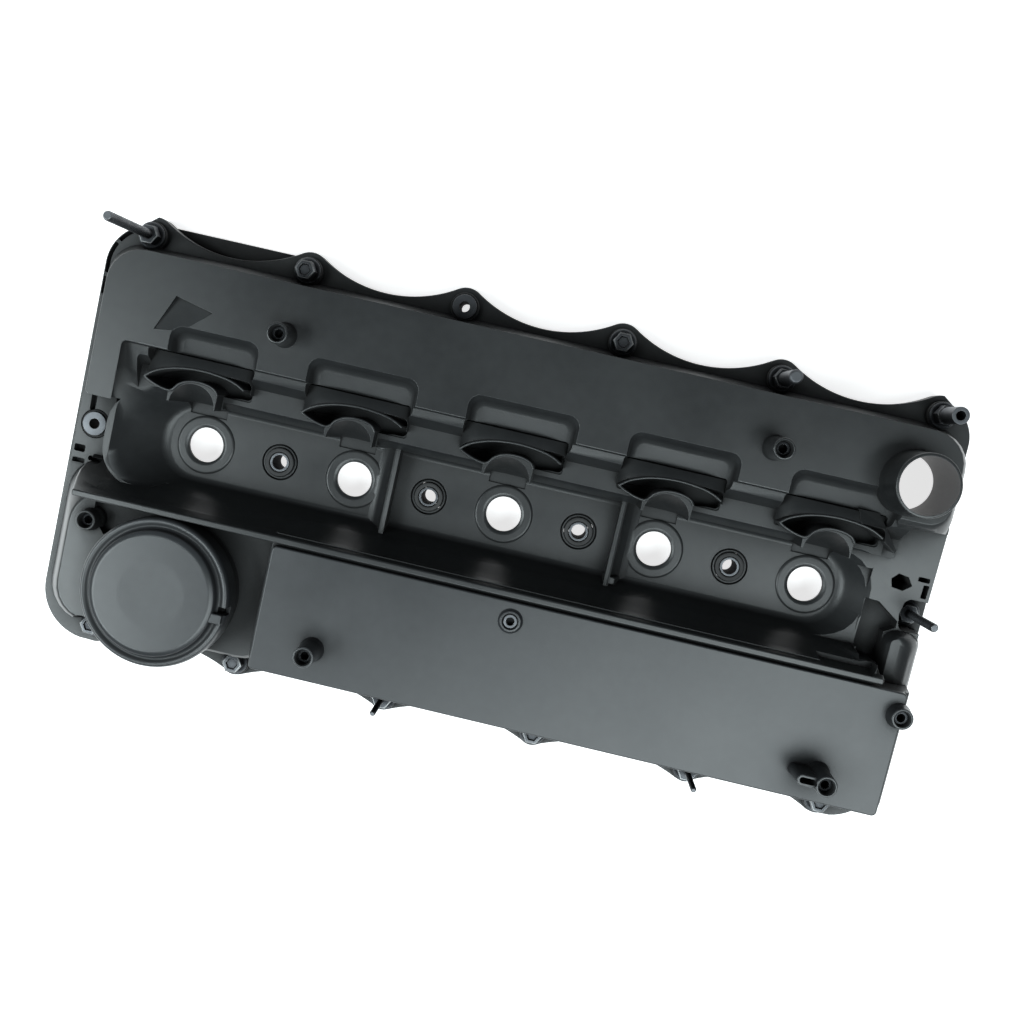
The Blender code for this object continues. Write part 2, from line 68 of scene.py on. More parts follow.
MM = 0.001
LOW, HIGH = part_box("injector_seal_3")
ORIGIN = Vector(((LOW[0] + HIGH[0]) / 2, (LOW[1] + HIGH[1]) / 2, cad_box[0][2]))

# Every length from here on is in millimetres from the middle injector's axis and the gasket's foot.
PITCH = 96
INJECTORS = [PITCH * n for n in (-2, -1, 0, 1, 2)]
SLEEVES = [PITCH * n for n in (-1.5, -0.5, 0.5, 1.5)]
BACK = [(100 * (n - 2.5) - 2, 119.5) for n in range(6)]
FRONT = [(x, -132) for x in (-147, -49, 49, 149, 234)]
CORNER, LEFT_BOLT, RIGHT_BOLT = (-241.5, -129), (-265, -3), (257, -3)
BOLTS = BACK + FRONT + [CORNER, LEFT_BOLT, RIGHT_BOLT]
NECK, VENT = (226.5, 75), (-190.5, -88.5)
# Each hollow post as (x, y, foot, top), the numbers of those that stand on the lid, the one of them that has
# a web, and the low one beside the vent.
POSTS = [(-146, 77, 50, 80), (145, 77, 50, 90), (-91.5, -100, 60.3, 88), (19.4, -56, 60.3, 68)]
POSTS += [(214.5, -102.5, 60.3, 90), (251.5, -58, 60.3, 74), (-247, -59, 20, 48)]
LID_POSTS, WEB_POST, VENT_POST = (2, 3, 4, 5), 4, 6
FLANGE_FOOT, FLANGE_TOP, LID_TOP, NECK_TOP = 3.3, 13, 66, 90
# Radii and heights of the tubes, holes, bolts and hoods.
INJECTOR_TUBE, INJECTOR_HOLE, SEAL_BORE, SEAL_SEAT, SLEEVE_TUBE = 19, 10.9, 16.3, 17.5, 12
BOLT_RECESS, BOLT_HOLE, NECK_BORE, VALVE_HOLE = 9.3, 7.2, 16.5, 6.5
HEAD_RADIUS, HEAD_FOOT, INSERT_DEPTH = 6.4, 18.9, 12
HOOD_TOP, HOOD_BACK = 56.9, 52.3
ARC = 5  # segments of a rounded edge
SOLVER = "MANIFOLD"


# ---------------------------------------------------------------- shapes

def joined(shapes):
    whole = bmesh.new()
    for shape in shapes:
        mesh = bpy.data.meshes.new("joining")
        shape.to_mesh(mesh)
        shape.free()
        whole.from_mesh(mesh)
        bpy.data.meshes.remove(mesh)
    return whole


def loft(rings):
    """A closed solid through outlines of the same number of points: (outline, z) from the foot up."""
    shape = bmesh.new()
    rows = []
    for outline, z in rings:
        rows.append([shape.verts.new((p[0], p[1], z if len(p) == 2 else p[2])) for p in outline])
    for low, high in zip(rows, rows[1:]):
        for i in range(len(low)):
            j = (i + 1) % len(low)
            shape.faces.new((low[i], low[j], high[j], high[i]))
    shape.faces.new(reversed(rows[0]))
    shape.faces.new(rows[-1])
    bmesh.ops.recalc_face_normals(shape, faces=shape.faces)
    return shape


def arc(centre, radius, start, end, steps):
    """Points on a round arc, between two angles in degrees."""
    angles = [math.radians(start + (end - start) * i / steps) for i in range(steps + 1)]
    return [(centre[0] + radius * math.cos(a), centre[1] + radius * math.sin(a)) for a in angles]


def rounded(x0, x1, y0, y1, radius, steps=6):
    """A rectangle with round corners, counter-clockwise."""
    radius = max(0.05, min(radius, (x1 - x0) / 2.01, (y1 - y0) / 2.01))
    points = []
    for x, y, start in ((x1, y0, -90), (x1, y1, 0), (x0, y1, 90), (x0, y0, 180)):
        middle_x = x - math.copysign(radius, x - (x0 + x1) / 2)
        middle_y = y - math.copysign(radius, y - (y0 + y1) / 2)
        points += arc((middle_x, middle_y), radius, start, start + 90, steps)
    return points


def bent(corners, steps=6):
    """A closed outline through corners (x, y, radius), counter-clockwise. An inward corner may be round too."""
    points = []
    for i, (x, y, radius) in enumerate(corners):
        here = Vector((x, y))
        before = Vector(corners[i - 1][:2]) - here
        after = Vector(corners[(i + 1) % len(corners)][:2]) - here
        start, end = here + before.normalized() * radius, here + after.normalized() * radius
        centre = start + end - here
        for step in range(steps + 1):
            turn = math.pi / 2 * step / steps
            points.append(tuple(centre + (start - centre) * math.cos(turn) + (end - centre) * math.sin(turn)))
    return points


def edge_levels(foot, top, lower, upper):
    """Heights and insets of a side whose ends are rounded in (+) or flare out (-)."""
    levels = []
    for i in range(ARC + 1):
        turn = math.pi / 2 * i / ARC
        if lower:
            levels.append((foot + abs(lower) * (1 - math.cos(turn)), lower * (1 - math.sin(turn))))
        if upper:
            levels.append((top - abs(upper) * (1 - math.cos(turn)), upper * (1 - math.sin(turn))))
    if not lower:
        levels.append((foot, 0.0))
    if not upper:
        levels.append((top, 0.0))
    return levels


def form(sections, corner, lower=0.0, upper=0.0, steps=6):
    """A tapering block through rectangles (x0, x1, y0, y1, z), with its lower and upper edges rounded.

    A section's sixth number is a corner radius of its own.
    """
    sections = [s if len(s) == 6 else (*s, corner) for s in sections]
    foot, top = sections[0][4], sections[-1][4]
    levels = edge_levels(foot, top, lower, upper)
    levels += [(s[4], 0.0) for s in sections if foot + abs(lower) < s[4] < top - abs(upper)]
    rings = []
    for z, inset in sorted(levels):
        for one, two in zip(sections, sections[1:]):
            if z <= two[4] + 1e-6:
                break
        part = (z - one[4]) / (two[4] - one[4])
        x0, x1, y0, y1, _, own = (a + (b - a) * part for a, b in zip(one, two))
        rings.append((rounded(x0 + inset, x1 - inset, y0 + inset, y1 - inset, own - inset, steps), z))
    return loft(rings)


def block(x0, x1, y0, y1, foot, top, corner, **edges):
    """An upright block with round corners, the same at every height."""
    return form([(x0, x1, y0, y1, foot), (x0, x1, y0, y1, top)], corner, **edges)


def plain(outline, foot, top):
    return loft([(outline, foot), (outline, top)])


def wedge(outline, floor, top):
    """A prism over an outline whose floor has its own height at each corner."""
    foot = [(x, y, z) for (x, y), z in zip(outline, floor)]
    return loft([(foot, 0), ([(x, y, top) for x, y in outline], 0)])


def soften(profile, radius, closed, steps=4):
    """The profile with its corners rounded off."""
    count = len(profile)
    points = []
    for i, (r, z) in enumerate(profile):
        if not closed and i in (0, count - 1):
            points.append((r, z))
            continue
        here, before, after = Vector((r, z)), Vector(profile[i - 1]), Vector(profile[(i + 1) % count])
        one, two = before - here, after - here
        reach = min(radius, one.length * 0.45, two.length * 0.45)
        start, end = here + one.normalized() * reach, here + two.normalized() * reach
        for step in range(steps + 1):
            t = step / steps
            point = start * (1 - t) ** 2 + here * 2 * t * (1 - t) + end * t**2
            points.append((max(point.x, 0.0), point.y))
    return points


def lathe(centre, profile, sides=72, radius=0.35):
    """Turns (radius, z) points round a vertical axis. A profile off the axis closes on itself."""
    on_axis = profile[0][0] == 0
    if radius:
        profile = soften(profile, radius, not on_axis)
    shape = bmesh.new()
    columns, poles = [], {}
    for side in range(sides):
        angle = 2 * math.pi * side / sides
        column = []
        for number, (r, z) in enumerate(profile):
            if r < 1e-6:
                if number not in poles:
                    poles[number] = shape.verts.new((centre[0], centre[1], z))
                column.append(poles[number])
            else:
                x, y = centre[0] + r * math.cos(angle), centre[1] + r * math.sin(angle)
                column.append(shape.verts.new((x, y, z)))
        columns.append(column)
    count = len(profile)
    for one, two in zip(columns, columns[1:] + columns[:1]):
        for i in range(count - 1 if on_axis else count):
            j = (i + 1) % count
            corners = [one[i], two[i], two[j], one[j]]
            kept = [v for n, v in enumerate(corners) if v not in corners[:n]]
            if len(kept) > 2:
                shape.faces.new(kept)
    bmesh.ops.recalc_face_normals(shape, faces=shape.faces)
    return shape


def drum(centre, radius, foot, top, sides=64):
    """A plain upright cylinder."""
    return lathe(centre, [(0, foot), (radius, foot), (radius, top), (0, top)], sides, 0)


def hexagon(centre, radius, foot, top, chamfer=0.8, dish=0.0):
    """A six-sided head with a chamfered top, and a dish in the top where one is given."""
    turns = [math.radians(a) for a in range(0, 360, 60)]
    outline = [(centre[0] + radius * math.cos(a), centre[1] + radius * math.sin(a)) for a in turns]

    def scaled(part):
        return [(centre[0] + (x - centre[0]) * part, centre[1] + (y - centre[1]) * part) for x, y in outline]

    rings = [(scaled(1), foot), (scaled(1), top - chamfer * 0.6), (scaled(1 - chamfer / radius), top)]
    if dish:
        rings += [(scaled(0.62), top), (scaled(0.5), top - dish)]
    return loft(rings)


def wall(path, thickness, foot, top, edge=0.5):
    """A thin upright wall along a path of points, with a rounded top edge."""
    def outline(half):
        left, right = [], []
        for i, (x, y) in enumerate(path):
            x0, y0 = path[max(i - 1, 0)]
            x1, y1 = path[min(i + 1, len(path) - 1)]
            length = math.hypot(x1 - x0, y1 - y0)
            nx, ny = -(y1 - y0) / length * half, (x1 - x0) / length * half
            left.append((x + nx, y + ny))
            right.append((x - nx, y - ny))
        return right + left[::-1]

    half = thickness / 2
    rings = [(outline(half), foot)]
    for i in range(4):
        turn = math.pi / 2 * i / 3
        rings.append((outline(half - edge * (1 - math.cos(turn))), top - edge + edge * math.sin(turn)))
    return loft(rings)


def smooth_path(points, steps=6):
    """A Catmull-Rom curve through the points."""
    ends = [points[0]] + list(points) + [points[-1]]
    made = []
    for a, b, c, d in zip(ends, ends[1:], ends[2:], ends[3:]):
        for i in range(steps):
            t = i / steps
            made.append(tuple(0.5 * ((2 * q) + (r - p) * t + (2 * p - 5 * q + 4 * r - s) * t * t
                                     + (3 * q - p - 3 * r + s) * t**3) for p, q, r, s in zip(a, b, c, d)))
    return made + [tuple(points[-1])]


def scalloped_edge(xs, y, boss, dip):
    """Boss arcs joined by hollow arcs that touch them, from the first bolt to the last one."""
    outward = math.copysign(1, y)
    depth = outward * (dip - y)
    points = []
    start = 90
    for x, following in zip(xs, xs[1:] + [None]):
        if following is None:
            points += arc((x, y), boss, start, 90, 10)
            break
        half = (following - x) / 2
        hollow = (half**2 + depth**2 - boss**2) / (2 * (boss - depth))
        lean = math.degrees(math.atan2(depth + hollow, half))
        points += arc((x, y), boss, start, lean, 10)
        points += arc((x + half, y + depth + hollow), hollow, 180 + lean, 360 - lean, 26)[1:-1]
        start = 180 - lean
    return [(px, y + outward * (py - y)) for px, py in points]


def flange_outline(inset=0.0):
    """The flange's outline, counter-clockwise from its left end."""
    front = scalloped_edge([CORNER[0]] + [x for x, _ in FRONT], -132, 10 - inset, -131 + inset)
    back = scalloped_edge([x for x, _ in BACK], 119.5, 12.5 - inset, 117.5 - inset)
    left_front = arc((-247, -109), 33 - inset, 180, 262, 14)
    right_front = arc((240, -112), 30 - inset, -80, 0, 12)
    right_back = arc((246, 105), 24 - inset, 0, 70, 12)
    left_back = arc((-252, 98), 28 - inset, 110, 180, 12)
    return left_front + front + right_front + right_back + back[::-1] + left_back


# ---------------------------------------------------------------- materials

def node(tree, kind, **settings):
    made = tree.nodes.new(kind)
    for name, value in settings.items():
        if hasattr(made, name):
            setattr(made, name, value)
        else:
            made.inputs[name.replace("_", " ")].default_value = value
    return made


def ramp(tree, value, low, high, one, two):
    """A value's range from low to high, turned into one from one to two."""
    made = tree.nodes.new("ShaderNodeMapRange")
    made.inputs["From Min"].default_value = low
    made.inputs["From Max"].default_value = high
    made.inputs["To Min"].default_value = one
    made.inputs["To Max"].default_value = two
    tree.links.new(value, made.inputs["Value"])
    return made.outputs["Result"]


def noise(tree, where, scale, detail=3.0):
    made = node(tree, "ShaderNodeTexNoise", Scale=scale, Detail=detail)
    tree.links.new(where, made.inputs["Vector"])
    return made.outputs["Fac"]


def mix(tree, kind, factor, a, b):
    """A mix node of two values, each a socket or a constant."""
    made = node(tree, "ShaderNodeMix", data_type=kind)
    tree.links.new(factor, made.inputs["Factor"])
    for name, value in (("A", a), ("B", b)):
        if isinstance(value, bpy.types.NodeSocket):
            tree.links.new(value, made.inputs[name])
        else:
            made.inputs[name].default_value = value
    return made.outputs["Result"]


def finish_material(name, dark, light, edge, rough, grain=(1100, 0.00004), metallic=0.0, round_by=0.5,
                    reach=22):
    """Mottled colour between two tones, a painted highlight that makes the edges lighter, painted shade in the
    hollows, uneven gloss and a fine moulded grain.

    grain is its scale and its height in metres. The edges' radius round_by and the depth reach of the hollows
    are in millimetres.
    """
    material = bpy.data.materials.new(name)
    material.use_nodes = True
    tree = material.node_tree
    link = tree.links.new
    shader = tree.nodes["Principled BSDF"]
    shader.inputs["Metallic"].default_value = metallic
    where = node(tree, "ShaderNodeTexCoord").outputs["Object"]
    cloud = noise(tree, where, 14, 4)
    fine = noise(tree, where, grain[0], 2)
    middle = noise(tree, where, grain[0] / 7, 3)
    # Mottling from large clouds and smaller specks.
    blend = node(tree, "ShaderNodeMath", operation="MULTIPLY_ADD")
    blend.inputs[1].default_value = 0.55
    link(cloud, blend.inputs[0])
    specks = node(tree, "ShaderNodeMath", operation="MULTIPLY")
    specks.inputs[1].default_value = 0.45
    link(middle, specks.inputs[0])
    link(specks.outputs[0], blend.inputs[2])
    mottled = mix(tree, "RGBA", ramp(tree, blend.outputs[0], 0.3, 0.7, 0, 1), (*dark, 1), (*light, 1))
    # Painted highlight: edges are painted lighter where the rounded normal leaves the true one.
    bevel = node(tree, "ShaderNodeBevel", samples=4)
    bevel.inputs["Radius"].default_value = round_by * MM
    true = node(tree, "ShaderNodeNewGeometry")
    dot = node(tree, "ShaderNodeVectorMath", operation="DOT_PRODUCT")
    link(bevel.outputs["Normal"], dot.inputs[0])
    link(true.outputs["True Normal"], dot.inputs[1])
    edge_highlight = mix(tree, "RGBA", ramp(tree, dot.outputs["Value"], 0.995, 0.90, 0, 1), mottled, (*edge, 1))
    # Painted shade: the hollows are painted darker, down to a quarter of the dark tone, and made duller.
    hollow = node(tree, "ShaderNodeAmbientOcclusion", samples=6)
    hollow.inputs["Distance"].default_value = reach * MM
    openness = ramp(tree, hollow.outputs["AO"], 0.4, 0.9, 0, 1)
    painted_shade = (*(channel * 0.25 for channel in dark), 1)
    link(mix(tree, "RGBA", openness, painted_shade, edge_highlight), shader.inputs["Base Color"])
    gloss = ramp(tree, cloud, 0.25, 0.75, rough[0], rough[1])
    link(mix(tree, "FLOAT", openness, 0.85, gloss), shader.inputs["Roughness"])
    bump = node(tree, "ShaderNodeBump", Strength=0.6, Distance=grain[1])
    link(fine, bump.inputs["Height"])
    link(bevel.outputs["Normal"], bump.inputs["Normal"])
    link(bump.outputs["Normal"], shader.inputs["Normal"])
    return material


# The third colour of each finish is the painted highlight on its edges.
NYLON = finish_material("glass_filled_nylon", (0.012, 0.013, 0.014), (0.02, 0.0215, 0.0225),
                        (0.05, 0.052, 0.054), (0.29, 0.37), round_by=0.35, reach=24)
LID = finish_material("lid_nylon_satin", (0.018, 0.02, 0.022), (0.027, 0.029, 0.032),
                      (0.09, 0.093, 0.097), (0.3, 0.38), round_by=0.4)
RUBBER = finish_material("acrylic_rubber", (0.012, 0.012, 0.012), (0.024, 0.024, 0.025),
                         (0.07, 0.07, 0.07), (0.6, 0.78), grain=(700, 0.00006))
SEAL = finish_material("seal_silicone", (0.03, 0.012, 0.009), (0.055, 0.02, 0.014),
                       (0.12, 0.05, 0.04), (0.5, 0.65), grain=(600, 0.00004))
STEEL = finish_material("blackened_steel", (0.07, 0.073, 0.08), (0.15, 0.155, 0.165),
                        (0.5, 0.5, 0.5), (0.36, 0.5), grain=(900, 0.00003), metallic=1.0, round_by=0.3)
SPRING = finish_material("spring_wire", (0.4, 0.4, 0.41), (0.55, 0.55, 0.56),
                         (0.7, 0.7, 0.7), (0.2, 0.32), grain=(1500, 0.00002), metallic=1.0, round_by=0.1)


# ---------------------------------------------------------------- pieces

def place(name, shape, material, nodes, body="cover", angle=38):
    """A finished piece that stands for the named CAD nodes."""
    shape.transform(Matrix.Translation(ORIGIN) @ Matrix.Scale(MM, 4))
    mesh = bpy.data.meshes.new(name)
    shape.to_mesh(mesh)
    shape.free()
    mesh.materials.clear()
    mesh.materials.append(material)
    mesh.shade_smooth()
    mesh.set_sharp_from_angle(angle=math.radians(angle))
    made = bpy.data.objects.new(name, mesh)
    bpy.context.scene.collection.objects.link(made)
    weighted = made.modifiers.new("flat faces first", "WEIGHTED_NORMAL")
    weighted.keep_sharp = True
    weighted.weight = 80
    if body:
        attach(made, body)
    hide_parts(*nodes)
    return made


class Steps(list):
    """A row of Booleans, each (operation, shapes that don't meet each other)."""

    def add(self, *shapes):
        self.append(("UNION", list(shapes)))

    def cut(self, *shapes):
        self.append(("DIFFERENCE", list(shapes)))


def carved(base, steps):
    """The base after its steps."""
    helpers = []

    def helper(shape):
        mesh = bpy.data.meshes.new("helper")
        shape.to_mesh(mesh)
        shape.free()
        made = bpy.data.objects.new("helper", mesh)
        bpy.context.scene.collection.objects.link(made)
        helpers.append(made)
        return made

    target = helper(base)
    for operation, shapes in steps:
        step = target.modifiers.new("step", "BOOLEAN")
        step.operation = operation
        step.solver = SOLVER
        step.object = helper(joined(shapes))
    graph = bpy.context.evaluated_depsgraph_get()
    mesh = bpy.data.meshes.new_from_object(target.evaluated_get(graph))
    result = bmesh.new()
    result.from_mesh(mesh)
    bpy.data.meshes.remove(mesh)
    for made in helpers:
        used = made.data
        bpy.data.objects.remove(made, do_unlink=True)
        bpy.data.meshes.remove(used)
    bmesh.ops.remove_doubles(result, verts=result.verts, dist=0.004)
    bmesh.ops.dissolve_degenerate(result, dist=0.004, edges=result.edges)
    return result


def shell_steps():
    """The cover moulding: housings, valley, hoods and hollows."""
    steps = Steps()
    # Housing over the back camshaft, with an arm at its left end.
    levels = []
    for left, right, front, back, z in (
            (-277.5, 267, 31, 114, 8), (-276.5, 266, 32, 113, 14), (-271, 263.5, 36, 108.8, 26),
            (-264, 260, 41, 108, 42), (-258.6, 256.5, 47, 107.6, 54), (-256.3, 253.5, 51, 107.3, 60),
            (-255.8, 252.4, 53.4, 107.25, 61.6), (-255.4, 251.8, 54, 107.2, 62)):
        outline = bent([(right, front, 12), (right, back, 20), (left, back, 21), (left, 18, 3),
                        (-232, 18, 3), (-232, front, 3)])
        levels.append((outline, z))
    steps.add(loft(levels))
    steps.add(block(-232, 225, 20, 60, 8, 44, 1))
    # Housing of the vent, and the separator's housing.
    steps.add(form([(-277.5, -121, -129, -20, 8), (-276, -121, -128, -24, 13), (-266, -121, -125, -36, 32),
                    (-261.5, -121, -123, -40, 38.6), (-259.5, -121, -121.5, -42, 40)], 22))
    steps.add(form([(-130, 268, -128, -24, 10), (-129, 256, -121, -33, 61.8)], 9, upper=1.5))
    # The right end's deck, which falls a little towards the front, and the gap round its bolt.
    steps.add(form([(225, 267.5, -46, 56, 8), (225, 266.5, -46, 56, 14), (225, 261.5, -46, 56, 40)], 3))
    steps.cut(wedge([(234.2, -44.5), (300, -44.5), (300, 50), (234.2, 50)], (31, 31, 39, 39), 90))
    steps.cut(block(248.5, 290, -13, 7, 14, 50, 5))
    # Tray of the valley, the wall in front of it and the ridge on that wall.
    steps.add(form([(-249, 236, -34, 27, 8), (-249.5, 236, -34, 27, 33)], 29))
    steps.add(form([(-249.5, -200, -34, 27, 30), (-246.5, -200, -33, 26, 45)], 26))
    steps.add(form([(-263, 240, -47, -20.9, 14), (-259.5, 239.5, -45.5, -29.9, 40),
                    (-256, 239.3, -42.9, -33.5, 51), (-252.5, 239, -42.8, -36.9, 60.2),
                    (-250.5, 238.5, -42.6, -38.9, 66)], 1.2, upper=0.8))
    # The bulge at the right end, in front of its bolt.
    steps.add(form([(241.5, 268.5, -60, -12, 10), (241.5, 268, -60, -12.5, 20), (241.5, 265.5, -60, -13, 30),
                    (242, 262, -60, -14, 37), (242.8, 257, -60, -15.5, 41.5), (244.5, 250, -60, -18, 43.4)], 8))
    # The valley, by (x0, x1, y0, y1, z, corner).
    steps.cut(form([(-217, 213, -23, 24.2, 20, 21), (-222, 218, -24.7, 24.6, 25, 23),
                    (-230.5, 226, -27.5, 25.4, 33, 25), (-239, 233.5, -30, 28, 41, 24),
                    (-244.5, 234.4, -32.6, 32.5, 47.5, 16), (-246, 234, -34, 38.4, 51.6, 8),
                    (-243, 226, -36, 52.6, 57.2, 4), (-239.5, 224, -37, 53.6, 62, 3),
                    (-239, 224, -38.9, 54.3, 66, 3), (-239, 224, -42, 54.8, 74, 3)], 16, lower=3))
    steps.cut(form([(200, 234, -37, 30, 52), (200, 234, -40, 30, 72)], 3))
    # Past the valley's right end: the deck's level, and the dark groove between deck, ridge and bulge.
    steps.cut(wedge([(205, -28), (235, -28), (235, 29), (205, 29)], (32.4, 32.4, 37.2, 37.2), 90))
    groove = [(226, -33), (241.6, -33), (241.6, -16), (248, -12), (248, -8), (234, 1.5), (226, 2)]
    steps.cut(plain(groove, 24, 60))
    steps.cut(wedge([(236.5, -43.5), (241.6, -43.5), (241.6, -32.5), (236.5, -32.5)], (44, 44, 24, 24), 62))
    # Ground for the hoods, then each hood's parts.
    for x in INJECTORS:
        steps.add(block(x - 17, x + 13, 24.2, 46, 12, 44, 2))
    for x in INJECTORS:
        steps.cut(block(x - 33.4, x + 29.6, 33, 53, 43, 72, 2))
    steps.cut(*[pocket(x) for x in INJECTORS])
    steps.cut(notch())
    steps.add(last_hood_point())
    for step, shape in ((steps.add, hood), (steps.cut, bay), (steps.cut, crescent), (steps.add, rim),
                        (steps.add, apron), (steps.cut, scoop)):
        step(*[shape(x) for x in INJECTORS])
    return steps


# Curves of a hood about its injector's x: its front edge, and the crescent's outer and inner arc.
HOOD_FRONT = [(-34, 36), (-28, 40.4), (-18, 43.6), (-8, 45.2), (3, 45.6), (15, 44.4), (24, 41.8), (30, 37.5)]
OUTER = [(-32.5, 35.6), (-27, 39.8), (-18, 43.3), (-8, 45.2), (3, 45.7), (15, 44.5), (22, 42.6), (27.5, 39.8)]
INNER = [(-32.5, 35.6), (-29, 33.6), (-23, 31.4), (-17.2, 30.4), (-14.4, 31.6), (-11.6, 35), (-7, 37.6),
         (-1, 38.7), (5.5, 38.2), (10.2, 36.4), (12.4, 33.5)]


def hood(x):
    """The convex band between the plateau's front edge and the crescent."""
    front = smooth_path(HOOD_FRONT, 4)
    count = len(front)
    rows = []
    for part in (0.0, 0.15, 0.35, 0.6, 0.8, 1.0):
        row = []
        for i, (fx, fy) in enumerate(front):
            along = 2 * i / (count - 1) - 1
            fall = 8 * abs(along) ** 3 + 3.4 * part**1.5
            row.append((x + fx, fy + (HOOD_BACK - fy) * part, HOOD_TOP - fall))
        rows.append(row)
    shape = bmesh.new()
    tops = [[shape.verts.new(p) for p in row] for row in rows]
    feet = [[shape.verts.new((p[0], p[1], 38)) for p in row] for row in (rows[0], rows[-1])]
    for low, high in zip(tops, tops[1:]):
        for i in range(count - 1):
            shape.faces.new((low[i], low[i + 1], high[i + 1], high[i]))
    for i in range(count - 1):
        shape.faces.new((feet[0][i], feet[0][i + 1], tops[0][i + 1], tops[0][i]))
        shape.faces.new((feet[1][i], feet[1][i + 1], tops[-1][i + 1], tops[-1][i]))
        shape.faces.new((feet[0][i], feet[0][i + 1], feet[1][i + 1], feet[1][i]))
    for end in (0, -1):
        shape.faces.new([feet[0][end]] + [row[end] for row in tops] + [feet[1][end]])
    bmesh.ops.recalc_face_normals(shape, faces=shape.faces)
    return shape


def crescent(x):
    """The deep hollow of the hood, open to the bay at its right end."""
    outer, inner = smooth_path(OUTER, 5), smooth_path(INNER, 5)
    outline = inner[1:] + [(14, 33), (22, 34), (28, 36)] + outer[::-1]
    return plain([(x + px, py) for px, py in outline], 36, 72)


def rim(x):
    """The thin wall round the crescent."""
    path = smooth_path(OUTER[::-1], 5)[:-1] + smooth_path(INNER, 5)
    return wall([(x + px, py) for px, py in path], 1.5, 33, 57.6, 0.7)


def apron(x):
    """The solid inside the crescent's inner arc, which the scoop hollows out."""
    arch = smooth_path(INNER, 5)[15:]
    return plain([(x - 17, 24.2), (x + 12.2, 24.2)] + [(x + px, py) for px, py in arch[::-1]], 12, 56.4)


def bay(x):
    """The open room at the crescent's right end."""
    return form([(x + 14, x + 29.4, 34, 43, 36), (x + 13.2, x + 29.4, 34, 46, 58)], 3)


def scoop(x):
    """The half bowl in front of the crescent's inner edge."""
    foot, top, middle = 19, 60, x - 2
    rings = []
    for step in range(9):
        part = step / 8
        deep = 0.04 + 0.96 * part ** 0.8
        radius = 11.6 + 2.2 * part
        bowl = []
        for angle in range(0, 181, 9):
            turn = math.radians(angle)
            bowl.append((middle + radius * math.cos(turn), 24.4 + radius * math.sin(turn) * deep))
        rings.append((bowl + [(middle - radius, 18), (middle + radius, 18)], foot + (top - foot) * part))
    return loft(rings)


def last_hood_point():
    """The pointed right end of the last hood. It falls to the back and to the point."""
    corners = [(203, 53.6, 54), (205, 46, 57), (220, 39, 56.5), (229.4, 32.6, 54), (230.6, 34.4, 52),
               (216, 53.6, 51)]
    return loft([([(x, y) for x, y, _ in corners], 30), (corners, 0)])


def notch():
    """A wedge-shaped hollow behind the left pocket: deep at its left edge, level with the top at its right."""
    return wedge([(-222.5, 63.8), (-206, 66), (-190, 80), (-213, 85.2)], (61.2, 62.1, 61.0, 58.7), 70)


def pocket(x):
    """The recess in the plateau behind each hood. Its floor runs down to the front."""
    short = 12.5 if x == INJECTORS[0] else 0
    shape = form([(x - 29.5 + short, x + 30, 44, 65.5, 54.5), (x - 31.5 + short, x + 32, 44, 67.5, 60),
                  (x - 33 + short, x + 33.4, 44, 69, 62.2), (x - 33.4 + short, x + 33.8, 44, 69.4, 66)],
                 7, lower=3)
    for vertex in shape.verts:
        if vertex.co.z < 60:
            vertex.co.z += (vertex.co.y - 64) * 0.42
    return shape


def shell_details():
    """Ribs, slots, grooves and holes of the ends, and the underside."""
    steps = Steps()
    # Ribs between the plates of the valley's floor, hollowed on one side.
    for x, turn in ((-71, -1), (71, 1)):
        steps.add(rib(x, turn))
    steps.add(form([(68, 80, -27, -20.5, 18), (70, 76, -26, -21.5, 33)], 1.2, upper=0.8))
    # Left end: deck round the bolt, slots in it, and the groove along the flange's corner.
    steps.add(form([(-277.5, -246, -30, 18.5, 8), (-277, -247, -30, 18, 17)], 3, upper=0.6))
    steps.cut(*[block(x0, x1, y0, y1, 11, 30, 1) for x0, x1, y0, y1 in (
        (-270.5, -267, 4.8, 16.6), (-254.5, -250.6, 1.5, 16.8), (-275.5, -268.5, -22.5, -18),
        (-275.5, -267.5, -30, -26.5), (-265.5, -253.5, -26.6, -23.6))])
    bend = (-252, 98)
    paths = [[(-277.8, 78), (-277.8, 89)], [(-277.8, 91.5), (-277.8, 98)] + arc(bend, 25.8, 176, 150, 8),
             arc(bend, 25.8, 145, 112, 10)]
    steps.cut(*[wall(path, 2.4, 7, 30) for path in paths])
    # Right end: holes in the panel.
    corners = [(-6.6, 0.6), (-5, -4.4), (2, -5.2), (6.6, -1.2), (3.2, 3.6), (-3, 4.6)]
    steps.cut(plain([(243.8 + x, 16.2 + y) for x, y in corners], 9, 60))
    steps.cut(block(252.8, 259.8, 18.8, 21.6, 20, 50, 0.6), block(257, 260.4, 9, 17.2, 20, 50, 0.6))
    # Cutaways of the underside: back gallery, neck, front and vent galleries, and the room under the lid.
    steps.cut(form([(-249, 242, 45.5, 106.5, 14), (-234, 225, 55.5, 105, 48)], 12, upper=3))
    steps.cut(form([(-254, 247, 22, 107, -1), (-248, 241, 46, 107, 14.5)], 12))
    steps.cut(form([(214, 259.5, 52, 104, -1), (214, 254.5, 54, 103, 47)], 10))
    steps.cut(drum(NECK, NECK_BORE, -1, 50, 72))
    steps.cut(form([(-231, 222, 73, 105, 40), (-231, 222, 73, 104, 58)], 8, upper=3))
    steps.cut(form([(-118, 246, -120, -22, -1), (-118, 243, -114, -49, 47.5)], 6, upper=2))
    steps.cut(form([(-254, -114, -120, -22, -1), (-246, -114, -117, -38, 36)], 6, upper=2))
    steps.cut(block(-232, 224, -29, 30, -2, 16.5, 20))
    steps.cut(block(-122, 247, -117, -46, 47, 72, 5))
    return steps


